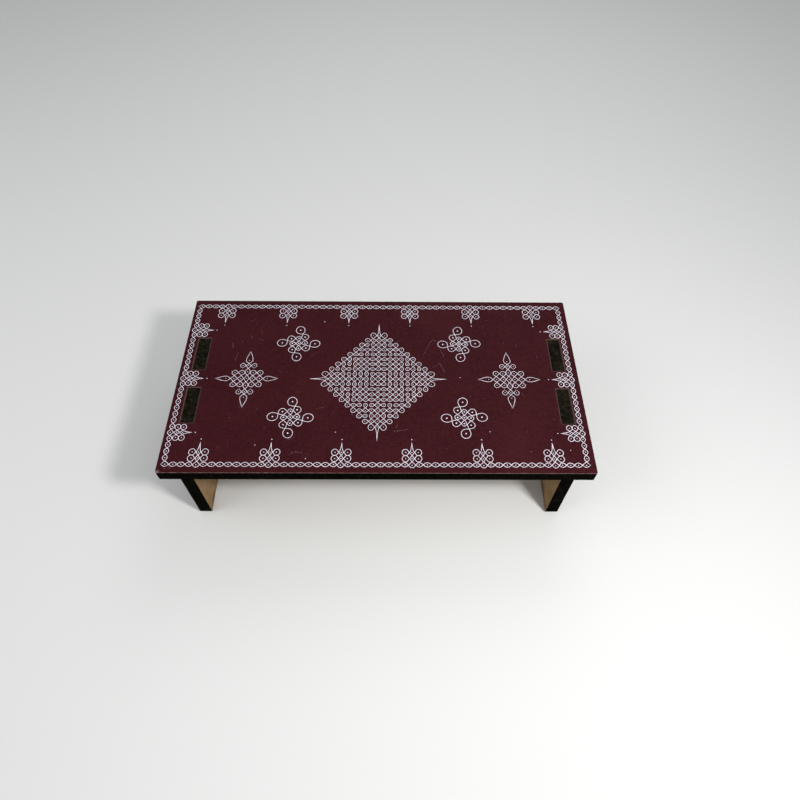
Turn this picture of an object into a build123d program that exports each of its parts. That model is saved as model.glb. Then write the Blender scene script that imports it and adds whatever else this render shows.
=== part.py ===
from build123d import *
import os

# Low slot-together stand: a rectangular top on two upright end panels.
# Each end panel has two tenons that come up through slots in the top.
# Everything is cut from one fibreboard sheet with a thin decorative film on one side.
# Millimetres, +Z up, +X along the top's long side, -Y to the front.
# The origin is on the floor under the middle of the top.

# Sheet
SHEET_THICKNESS = 12.0
FILM_THICKNESS = 0.4
CORE_THICKNESS = SHEET_THICKNESS - FILM_THICKNESS

# Top
TOP_LENGTH = 380.0
TOP_DEPTH = 200.0
STAND_HEIGHT = 103.0
TOP_CORNER_RADIUS = 1.5

# End panels
PANEL_SIDE_INSET = 11.5      # from the top's end to the panel's outer side
PANEL_END_SETBACK = 10.0     # from the top's front or rear edge to the panel's
PANEL_CORNER_RADIUS = 2.5    # lower corners of the panel's outline
FOOT_ROUNDING = 2.6          # sanded edges along the foot

# Tenons and the slots they fill
TENON_LENGTH = 38.0
TENON_OFFSET = 30.0          # from the panel's middle to the tenon's middle
TENON_RECESS = 0.6           # how far a tenon's end stays below the top's surface
SLOT_CLEARANCE = 0.10        # each side, across the sheet
SLOT_END_CLEARANCE = 0.25    # each end, along the slot

# The film is thinned to a bevel where it was cut
FILM_BEVEL = 0.3

# Derived places
TOP_UNDERSIDE = STAND_HEIGHT - SHEET_THICKNESS
FILM_UNDERSIDE = STAND_HEIGHT - FILM_THICKNESS
PANEL_OUTER_X = TOP_LENGTH / 2 - PANEL_SIDE_INSET
PANEL_LENGTH = TOP_DEPTH - 2 * PANEL_END_SETBACK
TENON_HEIGHT = SHEET_THICKNESS - TENON_RECESS
SLOT_WIDTH = SHEET_THICKNESS + 2 * SLOT_CLEARANCE
SLOT_LENGTH = TENON_LENGTH + 2 * SLOT_END_CLEARANCE
SLOT_X = PANEL_OUTER_X - SHEET_THICKNESS / 2
SIDES = {"left": -1, "right": 1}


def top_layer(bottom_z, thickness):
    """One layer of the top, with its four slots."""
    with BuildPart() as layer:
        with BuildSketch(Plane.XY.offset(bottom_z)):
            RectangleRounded(TOP_LENGTH, TOP_DEPTH, TOP_CORNER_RADIUS)
            with Locations(*[(x, y) for x in (-SLOT_X, SLOT_X) for y in (-TENON_OFFSET, TENON_OFFSET)]):
                Rectangle(SLOT_WIDTH, SLOT_LENGTH, mode=Mode.SUBTRACT)
        extrude(amount=thickness)
    return layer.part


def make_top_core():
    """The top's board, under its film."""
    return top_layer(TOP_UNDERSIDE, CORE_THICKNESS)


def make_top_film():
    """The top's decorative film, bevelled round its outline and round each slot."""
    film = top_layer(FILM_UNDERSIDE, FILM_THICKNESS)
    return chamfer(film.faces().sort_by(Axis.Z)[-1].edges(), FILM_BEVEL)


def panel_outline():
    """An end panel seen from its side, drawn with Y across and Z up: rounded lower corners and two tenons."""
    with BuildSketch(Plane.YZ) as outline:
        with Locations((0, TOP_UNDERSIDE / 2)):
            Rectangle(PANEL_LENGTH, TOP_UNDERSIDE)
        fillet(outline.vertices().sort_by(Axis.Y)[:2], PANEL_CORNER_RADIUS)
        with Locations(*[(y, TOP_UNDERSIDE + TENON_HEIGHT / 2) for y in (-TENON_OFFSET, TENON_OFFSET)]):
            Rectangle(TENON_LENGTH, TENON_HEIGHT)
    return outline.sketch


def foot_cutter(outer_x, inner_x):
    """What is sanded off the foot to round its two long edges."""
    edges = ((outer_x, 1 if inner_x > outer_x else -1), (inner_x, 1 if outer_x > inner_x else -1))
    with BuildPart() as cutter:
        with BuildSketch(Plane.XZ.offset(PANEL_LENGTH)):
            for x, inward in edges:
                with Locations((x + inward * FOOT_ROUNDING / 2, FOOT_ROUNDING / 2)):
                    Rectangle(FOOT_ROUNDING, FOOT_ROUNDING)
            for x, inward in edges:
                with Locations((x + inward * FOOT_ROUNDING, FOOT_ROUNDING)):
                    Circle(FOOT_ROUNDING, mode=Mode.SUBTRACT)
        extrude(amount=-2 * PANEL_LENGTH)
    return cutter.part


def make_panel(side):
    """An end panel's board and its film, for side -1 (left) or +1 (right)."""
    outline = panel_outline()
    outer_x = side * PANEL_OUTER_X
    film_x = side * (PANEL_OUTER_X - FILM_THICKNESS)
    inner_x = side * (PANEL_OUTER_X - SHEET_THICKNESS)
    cutter = foot_cutter(outer_x, inner_x)
    core = extrude(outline.moved(Location((inner_x, 0, 0))), amount=CORE_THICKNESS, dir=(side, 0, 0))
    film = extrude(outline.moved(Location((film_x, 0, 0))), amount=FILM_THICKNESS, dir=(side, 0, 0))
    return core - cutter, film - cutter


def save(part, node):
    part.label = node
    export_step(part, f"parts/{node}.step")


def main():
    os.makedirs("parts", exist_ok=True)
    save(make_top_core(), "top_core")
    save(make_top_film(), "top_film")
    for name, side in SIDES.items():
        core, film = make_panel(side)
        save(core, f"{name}_panel_core")
        save(film, f"{name}_panel_film")


main()
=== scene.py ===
import bpy
import math
import random
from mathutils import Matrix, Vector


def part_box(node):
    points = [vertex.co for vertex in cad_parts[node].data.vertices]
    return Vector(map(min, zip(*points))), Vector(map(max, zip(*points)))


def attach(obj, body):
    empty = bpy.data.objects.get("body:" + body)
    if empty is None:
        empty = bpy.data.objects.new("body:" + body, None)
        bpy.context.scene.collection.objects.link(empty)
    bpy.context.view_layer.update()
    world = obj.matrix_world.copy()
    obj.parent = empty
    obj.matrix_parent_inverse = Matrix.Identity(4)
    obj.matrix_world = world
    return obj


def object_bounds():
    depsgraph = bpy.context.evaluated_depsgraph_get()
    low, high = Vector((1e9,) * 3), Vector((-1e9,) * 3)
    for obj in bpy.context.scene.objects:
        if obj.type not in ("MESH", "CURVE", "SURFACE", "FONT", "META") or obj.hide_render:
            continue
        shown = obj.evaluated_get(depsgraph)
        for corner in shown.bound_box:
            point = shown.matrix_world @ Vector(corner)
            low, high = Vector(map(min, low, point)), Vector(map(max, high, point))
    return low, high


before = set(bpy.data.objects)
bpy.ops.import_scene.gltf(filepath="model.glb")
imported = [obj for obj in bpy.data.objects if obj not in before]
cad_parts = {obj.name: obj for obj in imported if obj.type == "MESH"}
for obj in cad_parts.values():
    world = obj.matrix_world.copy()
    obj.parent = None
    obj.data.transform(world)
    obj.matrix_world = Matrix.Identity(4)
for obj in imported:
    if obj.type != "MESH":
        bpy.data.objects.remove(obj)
cad_lowest, cad_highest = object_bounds()

# The print and the wear on it are laid out in millimetres; all other measures are in metres
MM = 0.001

# Places read from the frame
top_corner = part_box("top_film")[1]
panel_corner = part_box("left_panel_core")[1]
TOP_Z = top_corner.z
HALF_LENGTH = top_corner.x
HALF_DEPTH = top_corner.y
UNDERSIDE_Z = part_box("top_core")[0].z
PANEL_HALF_LENGTH = panel_corner.y
SLOT_X = -(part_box("left_panel_film")[0].x + panel_corner.x) / 2

# The slots as the CAD cuts them: half their width and length, and their middles' distance from the
# top's long axis
SLOT_HALF_WIDTH = 0.0061
SLOT_HALF_LENGTH = 0.01925
SLOT_Y = 0.030

# The print sits a little to the left of the board's middle
PRINT_SHIFT = (-0.8, 0.0)
INK_WIDTH = 0.54
INK_HEIGHT = 0.05
INK_TAPER = 3.0              # length over which a printed line narrows to a point
DOT_RADIUS = 0.52
STEPS_PER_BEND = 6
BEND_FULLNESS = 1.15
SPIKE_SHARE = 0.4            # of that fullness, left in a bend that runs to a spike
TIP_NEARNESS = 0.75          # cosine of the widest angle between a tip and the stop that it takes over
TAPERED_WIDTH = 0.25         # share of a line's width that is left at an open end

random.seed(11)


# ---------------------------------------------------------------- line pattern

def hermite(start, end, start_heading, end_heading, fullness):
    """Points along a smooth bend, without its last one. The headings are unit vectors."""
    reach = fullness * math.dist(start, end)
    points = []
    for step in range(STEPS_PER_BEND):
        t = step / STEPS_PER_BEND
        at_start = 2 * t ** 3 - 3 * t ** 2 + 1
        leaving = (t ** 3 - 2 * t ** 2 + t) * reach
        at_end = 3 * t ** 2 - 2 * t ** 3
        arriving = (t ** 3 - t ** 2) * reach
        x = at_start * start[0] + leaving * start_heading[0] + at_end * end[0] + arriving * end_heading[0]
        y = at_start * start[1] + leaving * start_heading[1] + at_end * end[1] + arriving * end_heading[1]
        points.append((x, y))
    return points


def unit(x, y):
    length = math.hypot(x, y)
    return (x / length, y / length)


def blend(a, b, share):
    """The unit vector that lies this share of the way from a to b."""
    return unit(a[0] + (b[0] - a[0]) * share, a[1] + (b[1] - a[1]) * share)


class LinePattern:
    """Dots joined by links. A strand crosses itself or another on each link and winds round each dot."""

    def __init__(self, crossing_angle=45):
        """At a crossing each strand runs at this angle, in degrees, to the link. A wider angle makes
        rounder cells."""
        self.along = math.cos(math.radians(crossing_angle))
        self.aside = math.sin(math.radians(crossing_angle))
        self.place = {}
        self.clearance = {}
        self.linked = {}
        self.tips = {}

    def dot(self, name, x, y, clearance=(2.5, 2.5)):
        """A dot that strands pass at this distance, along x and along y."""
        self.place[name] = (x, y)
        self.clearance[name] = clearance
        self.linked[name] = []

    def link(self, a, b):
        self.linked[a].append(b)
        self.linked[b].append(a)

    def tip(self, name, x, y, fullness):
        """The strand round this dot runs out to a point. Fullness is 0 for a spike and 1 for a leaf."""
        self.tips[name] = (x, y, fullness)

    def angle(self, name, other):
        (ax, ay), (bx, by) = self.place[name], self.place[other]
        return math.atan2(by - ay, bx - ax)

    def sort_links(self):
        for name, others in self.linked.items():
            others.sort(key=lambda other: self.angle(name, other))

    def crossing(self, a, b):
        """The crossing divides the link in the proportion of the two dots' clearances."""
        (ax, ay), (bx, by) = self.place[a], self.place[b]
        share = sum(self.clearance[a]) / (sum(self.clearance[a]) + sum(self.clearance[b]))
        return (ax + (bx - ax) * share, ay + (by - ay) * share)

    def stop(self, name, a, before, after):
        """The stop at angle a round a dot: a point if the dot's tip lies that way, else a smooth bend."""
        x, y = self.place[name]
        if name in self.tips:
            tip_x, tip_y, fullness = self.tips[name]
            ahead = unit(tip_x - x, tip_y - y)
            if ahead[0] * math.cos(a) + ahead[1] * math.sin(a) > TIP_NEARNESS:
                arrive = blend(ahead, unit(tip_x - before[0], tip_y - before[1]), fullness)
                leave = blend(ahead, unit(tip_x - after[0], tip_y - after[1]), fullness)
                return ((tip_x, tip_y), arrive, (-leave[0], -leave[1]), fullness)
        place = self.beside(name, a)
        heading = unit(-math.sin(a), math.cos(a))
        return (place, heading, heading, None)

    def slanted(self, a, along):
        """The heading of an anticlockwise strand where it crosses a link that leaves the dot at angle a."""
        x = math.cos(a) * along - math.sin(a) * self.aside
        y = math.sin(a) * along + math.cos(a) * self.aside
        return (x, y)

    def beside(self, name, a):
        """The place at angle a where a strand passes the dot."""
        x, y = self.place[name]
        across, along = self.clearance[name]
        return (x + across * math.cos(a), y + along * math.sin(a))

    def bend(self, name, index):
        """Stops anticlockwise round a dot, from one link's crossing to the next link's.
        A stop is (place, heading in, heading out, fullness if it is a tip's point, else None)."""
        others = self.linked[name]
        first = others[index]
        second = others[(index + 1) % len(others)]
        start = self.angle(name, first)
        gap = (self.angle(name, second) - start) % (2 * math.pi) or 2 * math.pi
        end = start + gap
        inward = self.slanted(start, -self.along)
        outward = self.slanted(end, self.along)
        ends = (self.crossing(name, first), self.crossing(name, second))
        count = round(gap / (math.pi / 2)) - 1
        angles = [start + gap * (k + 1) / (count + 1) for k in range(count)]
        corners = [ends[0]] + [self.beside(name, a) for a in angles] + [ends[1]]
        stops = [(ends[0], inward, inward, None)]
        stops += [self.stop(name, a, corners[k], corners[k + 2]) for k, a in enumerate(angles)]
        stops.append((ends[1], outward, outward, None))
        return stops

    def strand_stops(self, name, index, done):
        """Follows one strand round the dots, anticlockwise and clockwise by turns, until it closes."""
        stops = []
        anticlockwise = True
        while (name, index) not in done:
            done.add((name, index))
            bend = self.bend(name, index)
            others = self.linked[name]
            if anticlockwise:
                leave_to = others[(index + 1) % len(others)]
            else:
                leave_to = others[index]
                bend = [(p, (-o[0], -o[1]), (-i[0], -i[1]), point) for p, i, o, point in reversed(bend)]
            stops += bend[:-1]
            entry = self.linked[leave_to].index(name)
            anticlockwise = not anticlockwise
            index = entry if anticlockwise else (entry - 1) % len(self.linked[leave_to])
            name = leave_to
        return stops

    def strands(self):
        """Every strand as (points, closed). A strand with points in it is cut there into open ones."""
        self.sort_links()
        done = set()
        found = []
        for name, others in self.linked.items():
            for index in range(len(others)):
                if (name, index) not in done:
                    found += cut_at_points(self.strand_stops(name, index, done))
        return found


def cut_at_points(stops):
    """A closed strand as it is, or the open pieces between its points, each as (points, closed)."""
    cuts = [i for i, stop in enumerate(stops) if stop[3] is not None]
    if not cuts:
        return [(through(stops + stops[:1])[:-1], True)]
    turned = stops[cuts[0]:] + stops[:cuts[0]]
    pieces, piece = [], [turned[0]]
    for stop in turned[1:] + turned[:1]:
        piece.append(stop)
        if stop[3] is not None:
            pieces.append((through(piece), False))
            piece = [stop]
    return pieces


def through(stops):
    """Points along the bends from stop to stop. A bend runs straighter to a spike than to a leaf."""
    points = []
    for here, there in zip(stops, stops[1:]):
        sharpest = min([stop[3] for stop in (here, there) if stop[3] is not None], default=1.0)
        fullness = BEND_FULLNESS * (SPIKE_SHARE + (1 - SPIKE_SHARE) * sharpest)
        points += hermite(here[0], there[0], here[2], there[1], fullness)
    return points + [stops[-1][0]]


# Across a line: (share of half its width, share of its height). Its feet are sunk into the surface
LINE_PROFILE = ((-1.0, -0.4), (-0.8, 0.7), (0.0, 1.0), (0.8, 0.7), (1.0, -0.4))


def half_widths(points, closed, width, taper):
    """Half a line's width at each of its points. An open line narrows over taper at its ends."""
    if closed:
        return [width / 2] * len(points)
    run = [0.0]
    for a, b in zip(points, points[1:]):
        run.append(run[-1] + math.dist(a, b))
    widths = []
    for passed in run:
        from_end = min(passed, run[-1] - passed)
        share = min(1.0, TAPERED_WIDTH + (1 - TAPERED_WIDTH) * from_end / taper)
        widths.append(width / 2 * share)
    return widths


def add_line(vertices, faces, points, closed, width, height, taper):
    """A low ridge along the points, in millimetres."""
    count = len(points)
    first = len(vertices)
    section = len(LINE_PROFILE)
    halves = half_widths(points, closed, width, taper)
    for i, (x, y) in enumerate(points):
        before = points[i - 1] if closed or i > 0 else points[i]
        after = points[(i + 1) % count] if closed or i < count - 1 else points[i]
        dx, dy = unit(after[0] - before[0], after[1] - before[1])
        for across, up in LINE_PROFILE:
            aside = across * halves[i]
            vertices.append(((x - dy * aside) * MM, (y + dx * aside) * MM, up * height * MM))
    for i in range(count if closed else count - 1):
        a = first + i * section
        b = first + (i + 1) % count * section
        for k in range(section):
            m = (k + 1) % section
            faces.append((a + k, b + k, b + m, a + m))
    if not closed:
        faces.append(tuple(first + k for k in reversed(range(section))))
        faces.append(tuple(first + (count - 1) * section + k for k in range(section)))


def add_dot(vertices, faces, x, y, radius, height, sides=12):
    """A low round dot, in millimetres."""
    first = len(vertices)
    for share, up in ((1.0, -0.4), (0.8, 0.7)):
        for k in range(sides):
            a = 2 * math.pi * k / sides
            px, py = x + share * radius * math.cos(a), y + share * radius * math.sin(a)
            vertices.append((px * MM, py * MM, up * height * MM))
    vertices.append((x * MM, y * MM, height * MM))
    top = first + 2 * sides
    for k in range(sides):
        m = (k + 1) % sides
        faces.append((first + k, first + m, first + sides + m, first + sides + k))
        faces.append((first + sides + k, first + sides + m, top))
    faces.append(tuple(first + k for k in reversed(range(sides))))


def make_piece(name, vertices, faces, material, shift=(0.0, 0.0)):
    """A smooth mesh on the film's surface, moved by the shift in millimetres, that rides on the top."""
    mesh = bpy.data.meshes.new(name)
    placed = [(x + shift[0] * MM, y + shift[1] * MM, up + TOP_Z) for x, y, up in vertices]
    mesh.from_pydata(placed, [], faces)
    mesh.validate()
    for polygon in mesh.polygons:
        polygon.use_smooth = True
    mesh.materials.append(material)
    piece = bpy.data.objects.new(name, mesh)
    bpy.context.scene.collection.objects.link(piece)
    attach(piece, "top")


def print_pattern(name, pattern, loose_dots, material, width, dot_radius):
    """A pattern's strands and dots as one printed piece."""
    vertices, faces = [], []
    for points, closed in pattern.strands():
        add_line(vertices, faces, points, closed, width, INK_HEIGHT, INK_TAPER)
    for x, y in list(pattern.place.values()) + loose_dots:
        add_dot(vertices, faces, x, y, dot_radius, INK_HEIGHT)
    make_piece(name, vertices, faces, material, PRINT_SHIFT)


# ---------------------------------------------------------------- border

CHAIN_HALF_LENGTH = 183.5
CHAIN_HALF_DEPTH = 91.8
CHAIN_CLEARANCE = (2.1, 2.1)
CORNER_X = 182.2             # the four corner dots sit a little inside the ends' rows
CORNER_TIP = 3.8
CORNER_FULLNESS = 0.6
LONG_MOTIFS = (-155.3, -93.0, -30.9, 30.9, 93.0, 155.3)
SHORT_MOTIFS = (-59.7, 0.0, 59.7)
CELLS_BETWEEN_MOTIFS = 9
LONG_END_CELLS = 4           # from a corner to the nearest motif
SHORT_END_CELLS = 5
MOTIF_CELL = 6.1             # the chain's pitch next to a motif
MOTIF_SAG = 0.5              # how far a motif's first dot sits outside the chain's line
MOTIF_BASE = (2.4, 2.4)      # clearance of that dot
MOTIF_MIDDLE = (2.0, 2.2)    # clearance of a motif's middle dots, which leaves room for large side loops
MOTIF_FULLNESS = 0.3
LOOSE_DOT_GAP = 2.9          # from a spike's point to the loose dot past it
LONG_SIDE_MOTIF = {"rows": (6.0, 12.2), "step_across": 5.5, "size": (3.1, 3.2), "spike": 10.1}
SHORT_SIDE_MOTIF = {"rows": (5.2, 10.4), "step_across": 5.3, "size": (2.6, 3.1), "spike": 8.4}


def chain_stops(start, end, cells, narrow_start, narrow_end):
    """Places of the chain's dots from start to end, both left out, with narrow cells next to a motif."""
    step = math.copysign(MOTIF_CELL, end - start)
    a = start + step if narrow_start else start
    b = end - step if narrow_end else end
    wide_cells = cells - narrow_start - narrow_end
    stops = [a + (b - a) * k / wide_cells for k in range(wide_cells + 1)]
    return [s for s in stops if s not in (start, end)]


def side_stops(half, motifs, end_cells):
    """Places of all the chain's dots along one side, corners included."""
    stops = [-half]
    stops += chain_stops(-half, motifs[0], end_cells, False, True)
    for a, b in zip(motifs, motifs[1:]):
        stops.append(a)
        stops += chain_stops(a, b, CELLS_BETWEEN_MOTIFS, True, True)
    stops.append(motifs[-1])
    stops += chain_stops(motifs[-1], half, end_cells, True, False)
    stops.append(half)
    return stops


def add_edge_motif(pattern, base, inward, rows, step_across, size, spike):
    """Two rows of three dots on the chain's dot at base, ending in a spike; returns the loose dot past it."""
    across = (inward[1], inward[0])
    x, y = pattern.place[base]
    pattern.clearance[base] = MOTIF_BASE
    pattern.place[base] = (x - inward[0] * MOTIF_SAG, y - inward[1] * MOTIF_SAG)
    below = base
    for row in rows:
        middle, left, right = [(base, row, column) for column in (0, -1, 1)]
        for name, offset in ((middle, 0.0), (left, -step_across), (right, step_across)):
            place_x = x + inward[0] * row + across[0] * offset
            place_y = y + inward[1] * row + across[1] * offset
            pattern.dot(name, place_x, place_y, size if offset else MOTIF_MIDDLE)
        pattern.link(below, middle)
        pattern.link(middle, left)
        pattern.link(middle, right)
        below = middle
    x, y = pattern.place[below]
    pattern.tip(below, x + inward[0] * spike, y + inward[1] * spike, MOTIF_FULLNESS)
    reach = spike + LOOSE_DOT_GAP
    return (x + inward[0] * reach, y + inward[1] * reach)


def chain_ring():
    """Places of the chain's dots, anticlockwise from the front left corner."""
    along_x = side_stops(CORNER_X, LONG_MOTIFS, LONG_END_CELLS)
    along_y = side_stops(CHAIN_HALF_DEPTH, SHORT_MOTIFS, SHORT_END_CELLS)
    ring = [(x, -CHAIN_HALF_DEPTH) for x in along_x]
    ring += [(CHAIN_HALF_LENGTH, y) for y in along_y[1:-1]]
    ring += [(x, CHAIN_HALF_DEPTH) for x in reversed(along_x)]
    ring += [(-CHAIN_HALF_LENGTH, y) for y in reversed(along_y[1:-1])]
    return ring


def border():
    """The two-strand chain round the top, with its inward-pointing motifs and their loose dots."""
    pattern = LinePattern()
    loose = []
    ring = chain_ring()
    for k, (x, y) in enumerate(ring):
        pattern.dot(k, x, y, CHAIN_CLEARANCE)
    for k in range(len(ring)):
        pattern.link(k, (k + 1) % len(ring))
    for k, (x, y) in enumerate(ring):
        if abs(x) == CORNER_X:
            pattern.tip(k, x + math.copysign(CORNER_TIP, x), y, CORNER_FULLNESS)
        elif x in LONG_MOTIFS:
            inward = (0, -math.copysign(1, y))
            loose.append(add_edge_motif(pattern, k, inward, **LONG_SIDE_MOTIF))
        elif y in SHORT_MOTIFS:
            inward = (-math.copysign(1, x), 0)
            loose.append(add_edge_motif(pattern, k, inward, **SHORT_SIDE_MOTIF))
    return pattern, loose


# ---------------------------------------------------------------- flowers

FLOWER_PLACE = (79.1, 43.25)
FLOWER_SQUEEZE = 0.95        # the flowers are a little narrower than they are deep
FLOWER_CROSSING_ANGLE = 54
FLOWER_DOT_RADIUS = 0.75
FLOWER_MIDDLE = (1.9, 1.9)   # clearance of the middle dot

# A quarter of a flower: each dot's place from the middle one, and its clearance
FLOWER_QUARTER = {
    "side": (-0.3, 6.4, (2.4, 2.6)),
    "corner": (5.9, 8.0, (3.7, 3.7)),
    "vane": (0.6, 16.9, (4.2, 5.2)),
}


def flower(centre_x, centre_y, mirror):
    """Nine dots in a square, each corner with a large loop set on it like a pinwheel's vane."""
    pattern = LinePattern(FLOWER_CROSSING_ANGLE)
    pattern.dot("middle", centre_x, centre_y, FLOWER_MIDDLE)
    for turn in range(4):
        for name, (x, y, size) in FLOWER_QUARTER.items():
            for _ in range(turn):
                x, y = y, -x
                size = size[1], size[0]
            pattern.dot((name, turn), centre_x + mirror * x * FLOWER_SQUEEZE, centre_y + y, size)
    for turn in range(4):
        following = ("side", (turn + 1) % 4)
        pattern.link("middle", ("side", turn))
        pattern.link(("side", turn), ("corner", turn))
        pattern.link(("corner", turn), following)
        pattern.link(("corner", turn), ("vane", turn))
    return pattern


# ---------------------------------------------------------------- side lattices

LATTICE_X = 124.4
LATTICE_COLUMNS = (-12.0, -5.4, 0.0, 5.4, 12.0)
LATTICE_ROW = 6.9
LATTICE_CLEARANCE = (2.7, 2.7)
LATTICE_LINE_WIDTH = 0.46
LATTICE_DOT_RADIUS = 0.45
MIDDLE_COLUMN = 2
MIDDLE_ROW = 8.0             # the middle column's outer dots stand further out
MIDDLE_CLEARANCE = (2.3, 3.0)
BUD_Y = 15.3
BUD_CLEARANCE = (2.2, 2.4)
CURL_X = 5.4
CURL_TIP_Y = 11.9
CURL_CLEARANCE = (2.4, 2.7)
CURL_FULLNESS = 0.8
LEAF_Y = 21.6
LEAF_TIP_Y = 33.0
LEAF_CLEARANCE = (3.2, 3.0)
END_LEAF_X = 19.5
END_LEAF_TIP_X = 29.5
END_LEAF_CLEARANCE = (4.0, 2.7)
LEAF_FULLNESS = 0.9


def add_lattice_grid(pattern, centre_x):
    """Five columns and three rows. In the outer rows the middle dot isn't linked to its neighbours."""
    for row in (-1, 0, 1):
        for column, x in enumerate(LATTICE_COLUMNS):
            outer_middle = row != 0 and column == MIDDLE_COLUMN
            y = row * (MIDDLE_ROW if outer_middle else LATTICE_ROW)
            size = MIDDLE_CLEARANCE if outer_middle else LATTICE_CLEARANCE
            pattern.dot((column, row), centre_x + x, y, size)
    for row in (-1, 0, 1):
        for column in range(4):
            if row == 0 or column in (0, 3):
                pattern.link((column, row), (column + 1, row))
    for column in range(5):
        for row in (-1, 0):
            pattern.link((column, row), (column, row + 1))


def add_lattice_leaves(pattern, centre_x, side):
    """Towards this side along y, a bud with a curl on either hand and a leaf; along x, a leaf alone."""
    bud = ("bud", side)
    leaf = ("leaf", side)
    pattern.dot(bud, centre_x, side * BUD_Y, BUD_CLEARANCE)
    pattern.dot(leaf, centre_x, side * LEAF_Y, LEAF_CLEARANCE)
    pattern.tip(leaf, centre_x, side * LEAF_TIP_Y, LEAF_FULLNESS)
    pattern.link((MIDDLE_COLUMN, side), bud)
    pattern.link(bud, leaf)
    for hand in (-1, 1):
        curl = ("curl", side, hand)
        pattern.dot(curl, centre_x + hand * CURL_X, side * BUD_Y, CURL_CLEARANCE)
        pattern.tip(curl, centre_x + hand * CURL_X, side * CURL_TIP_Y, CURL_FULLNESS)
        pattern.link(bud, curl)
    end_leaf = ("end_leaf", side)
    pattern.dot(end_leaf, centre_x + side * END_LEAF_X, 0.0, END_LEAF_CLEARANCE)
    pattern.tip(end_leaf, centre_x + side * END_LEAF_TIP_X, 0.0, LEAF_FULLNESS)
    pattern.link((MIDDLE_COLUMN + 2 * side, 0), end_leaf)


def lattice(centre_x):
    """A lattice with a leaf at each of its four ends."""
    pattern = LinePattern()
    add_lattice_grid(pattern, centre_x)
    for side in (-1, 1):
        add_lattice_leaves(pattern, centre_x, side)
    return pattern


# ---------------------------------------------------------------- centre diamond

DIAMOND_STEP = (5.58, 5.95)
DIAMOND_REACH = 9            # dots from the middle one to each end
DIAMOND_CELL = (1.75, 1.85)
DIAMOND_RIM = (2.2, 2.3)     # clearance of the outermost dots
SIDE_LOBE = (3.4, 2.7)       # clearance of the dots beside a spike to the left or right
DEEP_LOBE = (2.6, 3.4)       # and of those beside a spike to the front or rear
DIAMOND_SPIKE = 14.8
DIAMOND_FULLNESS = 0.1
DIAMOND_LINE_WIDTH = 0.47
DIAMOND_DOT_RADIUS = 0.40

# Neighbours that no strand joins, in one eighth of the diamond; the other seven follow by symmetry
DIAMOND_WALLS = (
    ((1, 4), (1, 5)), ((2, 4), (2, 5)), ((3, 4), (3, 5)), ((4, 4), (4, 5)),
    ((1, 5), (2, 5)), ((2, 5), (3, 5)),
    ((1, 5), (1, 6)), ((3, 5), (3, 6)),
    ((2, 6), (2, 7)), ((1, 7), (2, 7)), ((2, 7), (2, 8)),
    ((1, 1), (1, 2)), ((0, 1), (0, 2)),
    ((1, 2), (1, 3)), ((1, 3), (1, 4)),
)


def walled(a, b):
    """Whether the diamond's strands keep these two neighbours apart."""
    folded = sorted([(abs(a[0]), abs(a[1])), (abs(b[0]), abs(b[1]))])
    swapped = sorted((y, x) for x, y in folded)
    return tuple(folded) in DIAMOND_WALLS or tuple(swapped) in DIAMOND_WALLS


def centre_diamond():
    """A stepped diamond of dots with a spike at each end, between two large lobes."""
    pattern = LinePattern()
    reach = range(-DIAMOND_REACH, DIAMOND_REACH + 1)
    cells = [(i, j) for i in reach for j in reach if abs(i) + abs(j) <= DIAMOND_REACH + 1]
    for i, j in cells:
        size = DIAMOND_RIM if abs(i) + abs(j) > DIAMOND_REACH else DIAMOND_CELL
        pattern.dot((i, j), i * DIAMOND_STEP[0], j * DIAMOND_STEP[1], size)
    for i, j in cells:
        for other in ((i + 1, j), (i, j + 1)):
            if other in pattern.place and not walled((i, j), other):
                pattern.link((i, j), other)
    for side in (-1, 1):
        for i, j in ((side * DIAMOND_REACH, 0), (0, side * DIAMOND_REACH)):
            x, y = pattern.place[i, j]
            ahead = unit(x, y)
            spike_x, spike_y = x + ahead[0] * DIAMOND_SPIKE, y + ahead[1] * DIAMOND_SPIKE
            pattern.tip((i, j), spike_x, spike_y, DIAMOND_FULLNESS)
            for hand in (-1, 1):
                lobe = (i or hand, j or hand)
                pattern.clearance[lobe] = SIDE_LOBE if j == 0 else DEEP_LOBE
    return pattern


# ---------------------------------------------------------------- materials

def srgb(red, green, blue):
    """A colour given from 0 to 255, as the linear colour that the shaders use."""
    linear = []
    for value in (red, green, blue):
        share = value / 255
        linear.append(share / 12.92 if share <= 0.04045 else ((share + 0.055) / 1.055) ** 2.4)
    return (*linear, 1.0)


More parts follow.
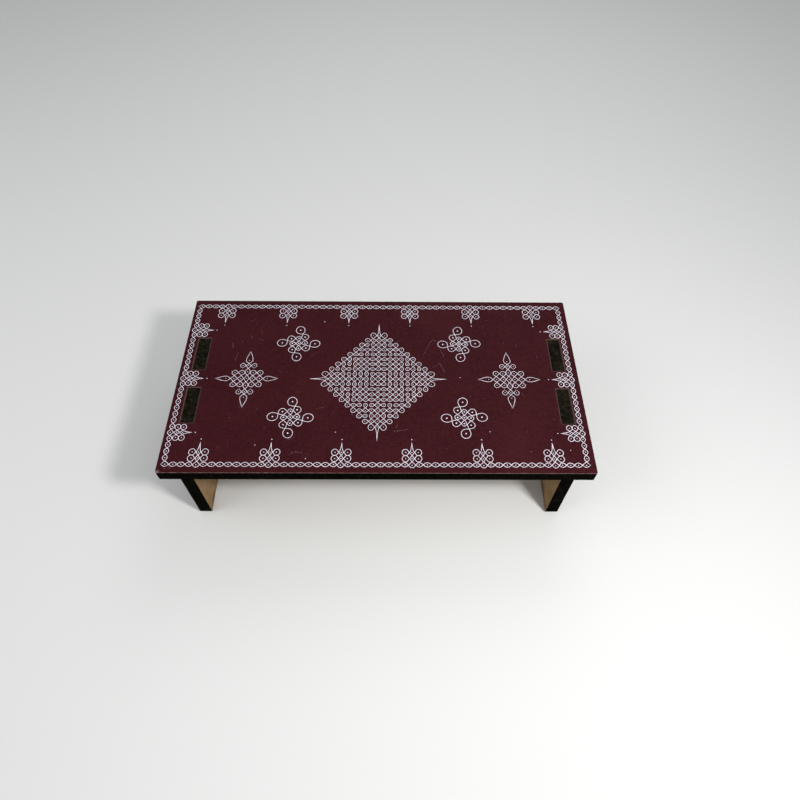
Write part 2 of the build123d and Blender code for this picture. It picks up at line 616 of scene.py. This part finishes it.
class Finish:
    """A material and short ways to add nodes to it."""

    def __init__(self, name):
        self.material = bpy.data.materials.new(name)
        self.material.use_nodes = True
        self.tree = self.material.node_tree
        self.shader = self.tree.nodes["Principled BSDF"]
        coordinates = self.tree.nodes.new("ShaderNodeTexCoord")
        self.place = coordinates.outputs["Object"]
        self.facing = coordinates.outputs["Normal"]

    def join(self, source, socket):
        """Feeds a socket from another node's output, or sets it to a plain value."""
        if hasattr(source, "links"):
            self.tree.links.new(source, socket)
        else:
            socket.default_value = source

    def math(self, operation, a, b=0.0):
        node = self.tree.nodes.new("ShaderNodeMath")
        node.operation = operation
        self.join(a, node.inputs[0])
        self.join(b, node.inputs[1])
        return node.outputs[0]

    def split(self, vector):
        node = self.tree.nodes.new("ShaderNodeSeparateXYZ")
        self.join(vector, node.inputs[0])
        return node.outputs[0], node.outputs[1], node.outputs[2]

    def stretched(self, scale):
        """The place, scaled so that a noise on it is drawn out along the axes with a small scale."""
        node = self.tree.nodes.new("ShaderNodeMapping")
        self.join(self.place, node.inputs["Vector"])
        node.inputs["Scale"].default_value = scale
        return node.outputs[0]

    def noise(self, scale, detail=3.0, roughness=0.5, vector=None):
        node = self.tree.nodes.new("ShaderNodeTexNoise")
        self.join(vector or self.place, node.inputs["Vector"])
        node.inputs["Scale"].default_value = scale
        node.inputs["Detail"].default_value = detail
        node.inputs["Roughness"].default_value = roughness
        return node.outputs[0]

    def step(self, value, low, high, to_low=0.0, to_high=1.0):
        """Runs smoothly from to_low to to_high as value goes from low to high."""
        node = self.tree.nodes.new("ShaderNodeMapRange")
        node.interpolation_type = "SMOOTHSTEP"
        self.join(value, node.inputs["Value"])
        node.inputs["From Min"].default_value = low
        node.inputs["From Max"].default_value = high
        node.inputs["To Min"].default_value = to_low
        node.inputs["To Max"].default_value = to_high
        return node.outputs[0]

    def mix(self, share, a, b):
        node = self.tree.nodes.new("ShaderNodeMix")
        node.data_type = "RGBA"
        self.join(share, node.inputs["Factor"])
        self.join(a, node.inputs["A"])
        self.join(b, node.inputs["B"])
        return node.outputs["Result"]

    def outside_box(self, a, b, half_a, half_b):
        """How far a point (a, b) is outside a rectangle centred on zero; 0 inside it."""
        over_a = self.math("MAXIMUM", self.math("SUBTRACT", a, half_a), 0.0)
        over_b = self.math("MAXIMUM", self.math("SUBTRACT", b, half_b), 0.0)
        square_a = self.math("MULTIPLY", over_a, over_a)
        square_b = self.math("MULTIPLY", over_b, over_b)
        return self.math("SQRT", self.math("ADD", square_a, square_b))

    def bump(self, height, strength, distance):
        node = self.tree.nodes.new("ShaderNodeBump")
        node.inputs["Strength"].default_value = strength
        node.inputs["Distance"].default_value = distance
        self.join(height, node.inputs["Height"])
        self.join(node.outputs[0], self.shader.inputs["Normal"])

    def finish(self, colour, roughness, ior=1.4):
        """A low ior stands for a surface with little gloss at any angle."""
        self.join(colour, self.shader.inputs["Base Color"])
        self.join(roughness, self.shader.inputs["Roughness"])
        self.shader.inputs["IOR"].default_value = ior
        return self.material


# A face turns from flat to upright as its normal's part along an axis goes from the first to the second
FLAT = 0.97
UPRIGHT = 0.80

FILM_IOR = 1.12
MAROON = srgb(55, 18, 22)
MAROON_DEEP = srgb(47, 13, 17)
MAROON_DUSTY = srgb(67, 27, 33)
FILM_DUST = srgb(104, 74, 78)
CUT_FILM = srgb(112, 92, 88)
SCORCHED_FILM = srgb(72, 54, 44)
WORN_THROUGH = srgb(158, 138, 130)


def film_colour(f):
    """Maroon with soft clouding, a fine mottle and a thin veil of dust."""
    clouds = f.step(f.noise(14.0, 4.0, 0.6), 0.35, 0.68)
    mottle = f.step(f.noise(480.0, 4.0, 0.7), 0.35, 0.7)
    colour = f.mix(clouds, MAROON_DEEP, MAROON)
    colour = f.mix(f.math("MULTIPLY", mottle, 0.6), colour, MAROON_DUSTY)
    dust = f.step(f.noise(2600.0, 2.0, 0.6), 0.66, 0.74)
    return f.mix(f.math("MULTIPLY", dust, 0.35), colour, FILM_DUST)


def film_roughness(f):
    """Satin sheen, dulled in patches and crossed by fine rubbing marks, on a faintly grained surface."""
    rubbed = f.noise(60.0, 5.0, 0.65, f.stretched((1.0, 7.0, 7.0)))
    patches = f.noise(22.0, 3.0, 0.6)
    roughness = f.math("ADD", f.math("MULTIPLY", rubbed, 0.18), f.math("MULTIPLY", patches, 0.16))
    f.bump(f.noise(1400.0, 3.0, 0.6), 0.12, 0.0002)
    return f.math("ADD", roughness, 0.38)


def from_slots(f):
    """How far a point on the top is from the nearest slot; 0 inside it."""
    x, y, _ = f.split(f.place)
    slot_x = f.math("ABSOLUTE", f.math("SUBTRACT", f.math("ABSOLUTE", x), SLOT_X))
    slot_y = f.math("ABSOLUTE", f.math("SUBTRACT", f.math("ABSOLUTE", y), SLOT_Y))
    return f.outside_box(slot_x, slot_y, SLOT_HALF_WIDTH, SLOT_HALF_LENGTH)


def scorch_slots(f, colour):
    """Heat has browned the film round the slots."""
    ragged = f.math("MULTIPLY", f.noise(300.0, 3.0, 0.6), 0.0012)
    scorch = f.step(f.math("ADD", from_slots(f), ragged), 0.0006, 0.0022, 1.0, 0.0)
    return f.mix(f.math("MULTIPLY", scorch, 0.85), colour, SCORCHED_FILM)


def rub_edges(f, colour, from_front):
    """The film's cut edge is bare and rubbed pale, and the front edge is rubbed further in."""
    facing_up = f.split(f.facing)[2]
    edge = f.step(facing_up, UPRIGHT, FLAT, 1.0, 0.0)
    wear = f.step(f.noise(420.0, 4.0, 0.7), 0.34, 0.60, 0.15, 0.9)
    nicks = f.math("MULTIPLY", f.noise(240.0, 5.0, 0.75), 0.0034)
    rub = f.step(f.math("ADD", from_front, nicks), 0.0015, 0.0022, 0.85, 0.0)
    return f.mix(f.math("MAXIMUM", f.math("MULTIPLY", edge, wear), rub), colour, CUT_FILM)


def wear_corner(f, colour, from_left, from_front):
    """The front left corner is worn through."""
    from_corner = f.outside_box(from_left, from_front, 0.0, 0.0)
    frayed = f.math("MULTIPLY", f.noise(420.0, 4.0, 0.7), 0.012)
    bald = f.step(f.math("ADD", from_corner, frayed), 0.0080, 0.0098, 0.9, 0.0)
    return f.mix(bald, colour, WORN_THROUGH)


def make_top_film_material():
    f = Finish("printed_film")
    x, y, _ = f.split(f.place)
    from_left = f.math("ADD", x, HALF_LENGTH)
    from_front = f.math("ADD", y, HALF_DEPTH)
    colour = scorch_slots(f, film_colour(f))
    colour = rub_edges(f, colour, from_front)
    colour = wear_corner(f, colour, from_left, from_front)
    return f.finish(colour, film_roughness(f), FILM_IOR)


def make_panel_film_material():
    """The same film, browned by heat along its edges."""
    f = Finish("plain_film")
    _, y, z = f.split(f.place)
    from_middle = f.math("ABSOLUTE", y)
    from_mid_height = f.math("ABSOLUTE", f.math("SUBTRACT", z, UNDERSIDE_Z / 2))
    inset = 0.0006
    half_length = PANEL_HALF_LENGTH - inset
    half_height = UNDERSIDE_Z / 2 - inset
    past_inset = f.outside_box(from_middle, from_mid_height, half_length, half_height)
    ragged = f.math("MULTIPLY", f.noise(300.0, 3.0, 0.6), 0.0008)
    scorch = f.step(f.math("ADD", past_inset, ragged), 0.0004, 0.0012)
    colour = f.mix(f.math("MULTIPLY", scorch, 0.8), film_colour(f), SCORCHED_FILM)
    return f.finish(colour, film_roughness(f), FILM_IOR)


BOARD_IOR = 1.03
RAW_BOARD = srgb(150, 125, 94)
RAW_BOARD_DARK = srgb(132, 107, 77)
RAW_FLECK = srgb(166, 144, 112)
# Brown of smoke stains; along a panel's shoulder it is also painted shade under the top
SMOKE_AND_SHADE_BROWN = srgb(78, 50, 24)
CHAR = srgb(6, 5, 3)
CHAR_WORN = srgb(27, 25, 18)
SMUDGE = srgb(50, 46, 36)


def raw_board_colour(f, fibres, from_cut):
    """Brown with pale and dark fibres, browned further by smoke and in streaks near the cuts, and along a
    panel's shoulder by painted shade under the top as well as by smoke.
    """
    colour = f.mix(f.step(f.noise(38.0, 5.0, 0.65), 0.32, 0.66), RAW_BOARD_DARK, RAW_BOARD)
    colour = f.mix(f.step(fibres, 0.58, 0.72, 0.0, 0.55), colour, RAW_FLECK)
    colour = f.mix(f.step(fibres, 0.30, 0.44, 0.4, 0.0), colour, SMOKE_AND_SHADE_BROWN)
    clouds = f.math("MULTIPLY", f.noise(60.0, 3.0, 0.6), 0.012)
    streaks = f.noise(240.0, 4.0, 0.7, f.stretched((0.15, 0.15, 1.0)))
    drift = f.math("ADD", clouds, f.math("MULTIPLY", streaks, 0.006))
    # Near the cuts this brown is smoke; in the band along a panel's shoulder it is also painted shade cast by
    # the top
    smoke_and_shade = f.step(f.math("ADD", from_cut, drift), 0.0090, 0.0130, 0.95, 0.0)
    colour = f.mix(smoke_and_shade, colour, SMOKE_AND_SHADE_BROWN)
    near_cut = f.step(from_cut, 0.004, 0.014, 0.85, 0.0)
    return f.mix(f.math("MULTIPLY", near_cut, f.step(streaks, 0.50, 0.58)), colour, SMOKE_AND_SHADE_BROWN)


def charred_colour(f, striations, facing_up):
    """Near black, worn paler along the striations, with glue and dust smeared over faces that look up."""
    patches = f.step(f.noise(160.0, 5.0, 0.7), 0.44, 0.70)
    worn = f.math("MULTIPLY", patches, f.step(striations, 0.40, 0.66))
    colour = f.mix(worn, CHAR, CHAR_WORN)
    smears = f.step(f.noise(260.0, 6.0, 0.8), 0.38, 0.74, 0.05, 0.7)
    return f.mix(f.math("MULTIPLY", f.step(facing_up, UPRIGHT, FLAT), smears), colour, SMUDGE)


def make_board_material(name, face_axis, cut_distance):
    """Fibreboard, raw on its broad faces, which face along face_axis, and charred on its cut edges, where
    the laser's striations run through the sheet."""
    f = Finish(name)
    facing = f.split(f.facing)
    cut = f.step(f.math("ABSOLUTE", facing[face_axis]), UPRIGHT, FLAT, 1.0, 0.0)
    fibres = f.noise(1500.0, 4.0, 0.75)
    through_sheet = [1.0, 1.0, 1.0]
    through_sheet[face_axis] = 0.06
    striations = f.noise(1100.0, 2.0, 0.5, f.stretched(through_sheet))
    raw = raw_board_colour(f, fibres, cut_distance(f))
    burnt = charred_colour(f, striations, facing[2])
    raw_relief = f.math("MULTIPLY", fibres, f.math("SUBTRACT", 1.0, cut))
    relief = f.math("ADD", raw_relief, f.math("MULTIPLY", striations, cut))
    f.bump(relief, 0.35, 0.0003)
    raw_roughness = f.math("ADD", 0.74, f.math("MULTIPLY", fibres, 0.2))
    roughness = f.math("ADD", f.math("MULTIPLY", cut, -0.24), raw_roughness)
    return f.finish(f.mix(cut, raw, burnt), roughness, BOARD_IOR)


def top_cut_distance(f):
    """From the top's outline or from a slot, whichever is nearer."""
    x, y, _ = f.split(f.place)
    from_end = f.math("SUBTRACT", HALF_LENGTH, f.math("ABSOLUTE", x))
    from_side = f.math("SUBTRACT", HALF_DEPTH, f.math("ABSOLUTE", y))
    return f.math("MINIMUM", f.math("MINIMUM", from_end, from_side), from_slots(f))


def panel_smoke_and_shade_distance(f):
    """From the panel's foot, which smoke browns, or its shoulder, where the brown band is partly smoke and
    partly painted shade under the top, whichever is nearer; its ends were cut clean.
    """
    _, _, z = f.split(f.place)
    return f.math("MINIMUM", z, f.math("SUBTRACT", UNDERSIDE_Z, z))


INK_DULL = srgb(216, 210, 220)
INK_BRIGHT = srgb(244, 239, 246)
INK_THIN = srgb(134, 112, 124)


def make_ink_material():
    """White, a little uneven, and greyer where it is thin."""
    f = Finish("ink")
    tone = f.step(f.noise(120.0, 4.0, 0.7), 0.35, 0.7)
    colour = f.mix(tone, INK_DULL, INK_BRIGHT)
    thin = f.step(f.noise(700.0, 3.0, 0.7), 0.60, 0.72, 0.0, 0.55)
    colour = f.mix(thin, colour, INK_THIN)
    f.bump(f.noise(2400.0, 2.0, 0.5), 0.15, 0.0001)
    roughness = f.step(f.noise(300.0), 0.3, 0.7, 0.42, 0.6)
    return f.finish(colour, roughness)


SCRATCH_DULL = srgb(98, 66, 70)
SCRATCH_PALE = srgb(168, 146, 146)


def make_scratch_material():
    f = Finish("scratched_film")
    colour = f.mix(f.step(f.noise(900.0, 3.0, 0.7), 0.40, 0.62), SCRATCH_DULL, SCRATCH_PALE)
    return f.finish(colour, f.step(f.noise(500.0), 0.3, 0.7, 0.5, 0.7))


# ---------------------------------------------------------------- wear on the top

# The scuffs that the photo shows, each a short run of places in millimetres from the top's middle
SCUFFS = (
    ((43, 29), (47, 39), (51.5, 48), (56, 47.5)),
    ((59, 38), (61, 32), (63, 27)),
    ((56, 17), (58, 19), (61, 13), (63, 7.5)),
    ((-57, -34), (-50, -32.5)),
    ((-78, -83), (-73, -80), (-66, -80)),
    ((-76, -80), (-70.5, -79)),
    ((14, -58), (21, -57.3), (28, -55.5)),
    ((16, -54.5), (18, -51.5)),
    ((-128.5, 54.5), (-126.5, 49.5)),
    ((-122, 48.7), (-116, 48.3)),
    ((-144.5, 44), (-143.3, 36)),
    ((-137.5, 32.5), (-139, 21)),
    ((-183, -96.5), (-179, -94), (-177, -97)),
)
BRIGHT_SPECKS = ((-108, -72.5), (-38, -59), (-62.5, -86), (170, -77), (100.5, -58), (77, 2), (-56, 71.5))
SCUFF_HEIGHT = 0.02
STROKE_LENGTH = 2.5
STROKE_POINTS = 5
HAIRLINES = 30
HAIRLINE_HEIGHT = 0.012
HAIRLINE_POINTS = 6
HAIRLINE_AREA = (154, 88)    # half its length and depth, so that no hairline reaches a slot
FAINT_SPECKS = 55
FAINT_SPECK_AREA = (162, 96)


def add_scuff(vertices, faces, places):
    """A broken, wavering scratch through the places, made of short tapered strokes."""
    for a, b in zip(places, places[1:]):
        length = math.dist(a, b)
        strokes = max(2, round(length / STROKE_LENGTH))
        dx, dy = unit(b[0] - a[0], b[1] - a[1])
        for k in range(strokes):
            start = (k + random.uniform(0.0, 0.2)) / strokes
            end = (k + random.uniform(0.7, 1.0)) / strokes
            offset = random.gauss(0.0, 0.12)
            points = []
            for s in range(STROKE_POINTS):
                t = start + (end - start) * s / (STROKE_POINTS - 1)
                waver = offset + random.gauss(0.0, 0.05)
                points.append((a[0] + dx * length * t - dy * waver, a[1] + dy * length * t + dx * waver))
            width = random.uniform(0.18, 0.42)
            taper = length / strokes / 3
            add_line(vertices, faces, points, False, width, SCUFF_HEIGHT, taper)


def add_hairline(vertices, faces):
    """A faint scratch at a random place."""
    x = random.uniform(-HAIRLINE_AREA[0], HAIRLINE_AREA[0])
    y = random.uniform(-HAIRLINE_AREA[1], HAIRLINE_AREA[1])
    a = random.gauss(math.radians(70), 0.6)
    length = random.uniform(1.5, 9.0)
    bow = random.uniform(-0.4, 0.4)
    points = []
    for s in range(HAIRLINE_POINTS):
        t = s / (HAIRLINE_POINTS - 1)
        side = bow * math.sin(math.pi * t)
        along_x = x + math.cos(a) * length * t - math.sin(a) * side
        along_y = y + math.sin(a) * length * t + math.cos(a) * side
        points.append((along_x, along_y))
    add_line(vertices, faces, points, False, random.uniform(0.05, 0.10), HAIRLINE_HEIGHT, length / 3)


def make_scratches(material):
    """The photo's scuffs, and hairlines at random."""
    vertices, faces = [], []
    for places in SCUFFS:
        add_scuff(vertices, faces, places)
    for _ in range(HAIRLINES):
        add_hairline(vertices, faces)
    make_piece("surface_scratches", vertices, faces, material)


def make_specks(material):
    """Flecks of white paint, the larger ones where the photo shows them."""
    vertices, faces = [], []
    for x, y in BRIGHT_SPECKS:
        add_dot(vertices, faces, x, y, random.uniform(0.35, 0.6), height=0.03, sides=7)
    for _ in range(FAINT_SPECKS):
        x = random.uniform(-FAINT_SPECK_AREA[0], FAINT_SPECK_AREA[0])
        y = random.uniform(-FAINT_SPECK_AREA[1], FAINT_SPECK_AREA[1])
        add_dot(vertices, faces, x, y, random.uniform(0.07, 0.18), height=0.015, sides=6)
    make_piece("paint_specks", vertices, faces, material)


# ---------------------------------------------------------------- the object

def paint(node, material):
    """Gives a CAD node its finish."""
    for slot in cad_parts[node].material_slots:
        slot.material = material


def dress_frame():
    paint("top_film", make_top_film_material())
    paint("top_core", make_board_material("top_board", 2, top_cut_distance))
    panel_film = make_panel_film_material()
    panel_board = make_board_material("panel_board", 0, panel_smoke_and_shade_distance)
    for side in ("left", "right"):
        paint(f"{side}_panel_film", panel_film)
        paint(f"{side}_panel_core", panel_board)


def print_top(ink):
    pattern, loose = border()
    print_pattern("printed_border", pattern, loose, ink, INK_WIDTH, DOT_RADIUS)
    for hand, side in (("left", -1), ("right", 1)):
        leaves = lattice(side * LATTICE_X)
        print_pattern(f"printed_{hand}_lattice", leaves, [], ink, LATTICE_LINE_WIDTH, LATTICE_DOT_RADIUS)
        for row, way in (("front", -1), ("rear", 1)):
            petals = flower(side * FLOWER_PLACE[0], way * FLOWER_PLACE[1], -side)
            print_pattern(f"printed_{row}_{hand}_flower", petals, [], ink, INK_WIDTH, FLOWER_DOT_RADIUS)
    diamond = centre_diamond()
    print_pattern("printed_centre_diamond", diamond, [], ink, DIAMOND_LINE_WIDTH, DIAMOND_DOT_RADIUS)


# ---------------------------------------------------------------- floor, light and camera

FLOOR_HALF_SIZE = 3.0
FLOOR_COLOUR = srgb(222, 222, 219)

# Each lamp's name, place, size and power in watts
LAMPS = (
    ("key", (0.40, -0.40, 0.75), 0.12, 5.6),
    ("fill", (-1.1, -0.3, 0.9), 1.0, 6.0),
    ("sheen", (0.25, 0.85, 1.05), 0.7, 2.8),
)
WORLD_LIGHT = (0.92, 0.95, 1.0, 1.0)
WORLD_STRENGTH = 0.42
CAMERA_LENS = 27.77
CAMERA_PLACE = (0.0135, -0.3464, TOP_Z + 0.4719)
CAMERA_TURN = (34.34, -0.64, -0.185)    # degrees


def make_floor():
    half = FLOOR_HALF_SIZE
    corners = [(-half, -half, 0.0), (half, -half, 0.0), (half, half, 0.0), (-half, half, 0.0)]
    mesh = bpy.data.meshes.new("floor")
    mesh.from_pydata(corners, [], [(0, 1, 2, 3)])
    floor = bpy.data.objects.new("floor", mesh)
    bpy.context.scene.collection.objects.link(floor)
    f = Finish("floor")
    mesh.materials.append(f.finish(FLOOR_COLOUR, 0.9))


def add_area_light(name, place, target, size, power):
    """A square light that faces the target."""
    data = bpy.data.lights.new(name, "AREA")
    data.shape = "SQUARE"
    data.size = size
    data.energy = power
    light = bpy.data.objects.new(name, data)
    bpy.context.scene.collection.objects.link(light)
    light.location = place
    toward = target - light.location
    light.rotation_euler = toward.to_track_quat("-Z", "Y").to_euler()


def make_lights():
    middle = (cad_lowest + cad_highest) / 2
    for name, place, size, power in LAMPS:
        add_area_light(name, place, middle, size, power)
    world = bpy.data.worlds.new("studio")
    bpy.context.scene.world = world
    world.use_nodes = True
    background = world.node_tree.nodes["Background"]
    background.inputs["Color"].default_value = WORLD_LIGHT
    background.inputs["Strength"].default_value = WORLD_STRENGTH


def make_camera():
    """Looks down on the stand from in front of its long side."""
    data = bpy.data.cameras.new("camera")
    data.lens = CAMERA_LENS
    data.sensor_width = 36.0
    camera = bpy.data.objects.new("camera", data)
    bpy.context.scene.collection.objects.link(camera)
    camera.location = CAMERA_PLACE
    camera.rotation_euler = [math.radians(turn) for turn in CAMERA_TURN]
    bpy.context.scene.camera = camera


ink = make_ink_material()
dress_frame()
print_top(ink)
make_scratches(make_scratch_material())
make_specks(ink)
make_floor()
make_lights()
make_camera()
bpy.context.scene.view_settings.view_transform = "Standard"
